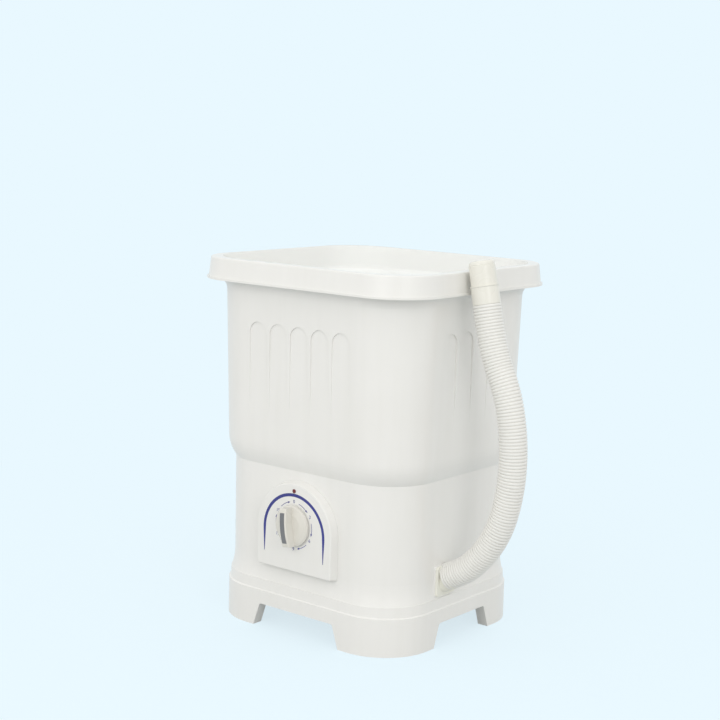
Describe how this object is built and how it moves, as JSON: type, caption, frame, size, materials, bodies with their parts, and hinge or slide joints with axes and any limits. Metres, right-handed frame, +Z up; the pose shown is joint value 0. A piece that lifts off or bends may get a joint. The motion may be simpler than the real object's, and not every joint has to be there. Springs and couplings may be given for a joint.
{
  "type": "mini washing machine",
  "caption": "Top-loading mini washer: open fluted tub with a wide rim on a narrower casing and footed plinth, with a timer knob at the front and a ribbed drain hose clipped to the rim.",
  "frame": {"origin": "on the floor under the middle of the machine", "axes": "+Z up, the control panel faces -Y, the drain hose is on the +X side"},
  "size_m": [0.5037, 0.3853, 0.5589],
  "materials": {
    "white_shell": "glossy moulded plastic, slightly warm white",
    "white_fittings": "glossy moulded plastic, white",
    "dark_inlay": "dark blue-grey inlay",
    "red_lens": "clear red plastic",
    "hose_plastic": "soft ribbed plastic, satin",
    "cuff_plastic": "smooth plastic",
    "fitting_plastic": "cream plastic",
    "black_rubber": "plain",
    "plated_steel": "zinc plated",
    "bearing_bronze": "sintered bronze",
    "cast_alloy": "as cast",
    "motor_paint": "dark enamel",
    "dark_plastic": "plain",
    "lamp_glass": "small neon lamp"
  },
  "bodies": {
    "cabinet": {"wash_tub": "white_shell", "tub_floor": "white_shell", "lower_casing": "white_shell", "base_plinth": "white_shell", "control_panel": "white_shell", "hose_hook": "white_fittings", "indicator_lens": "red_lens", "drain_hose": "hose_plastic", "hose_end": "cuff_plastic", "hose_cap": "cuff_plastic", "drain_outlet": "fitting_plastic", "outlet_nut": "fitting_plastic", "drain_strainer": "fitting_plastic", "outlet_seal": "black_rubber", "drain_elbow": "black_rubber", "shaft_seal": "black_rubber", "motor_mounts": "black_rubber", "cord_gland": "black_rubber", "drive_belt": "black_rubber", "housing_bolts": "plated_steel", "motor_bolts": "plated_steel", "mount_bolts": "plated_steel", "tub_screws": "plated_steel", "base_screws": "plated_steel", "panel_screws": "plated_steel", "timer_screws": "plated_steel", "elbow_clamps": "plated_steel", "capacitor_clip": "plated_steel", "upper_bush": "bearing_bronze", "lower_bush": "bearing_bronze", "shaft_housing": "cast_alloy", "motor_upper_bell": "cast_alloy", "motor_lower_bell": "cast_alloy", "motor_stator": "motor_paint", "motor_bracket": "motor_paint", "wash_timer": "dark_plastic", "capacitor": "dark_plastic", "indicator_lamp": "lamp_glass"},
    "knob": {"timer_knob": "white_fittings", "knob_pointer": "dark_inlay", "timer_shaft": "plated_steel"},
    "pulsator_drive": {"pulsator": "fitting_plastic", "pulsator_screw": "plated_steel", "drive_shaft": "plated_steel", "drive_pulley": "dark_plastic", "pulley_nut": "plated_steel"},
    "motor_rotor": {"motor_shaft": "plated_steel", "motor_pulley": "cast_alloy"}
  },
  "joints": [
    {"name": "knob_turn", "type": "hinge", "parent": "cabinet", "child": "knob", "pos_m": [0, -0.17285, 0.1685], "axis": [0, 1, 0], "range_deg": [0, 300]},
    {"name": "pulsator_spin", "type": "hinge", "parent": "cabinet", "child": "pulsator_drive", "pos_m": [0, 0, 0.24], "axis": [0, 0, 1], "continuous": true},
    {"name": "motor_spin", "type": "hinge", "parent": "cabinet", "child": "motor_rotor", "pos_m": [-0.062, 0.08, 0.1], "axis": [0, 0, 1], "continuous": true}
  ],
  "couplings": [
    {"joint": "motor_spin", "follows": "pulsator_spin", "ratio": 4.3333}
  ]
}
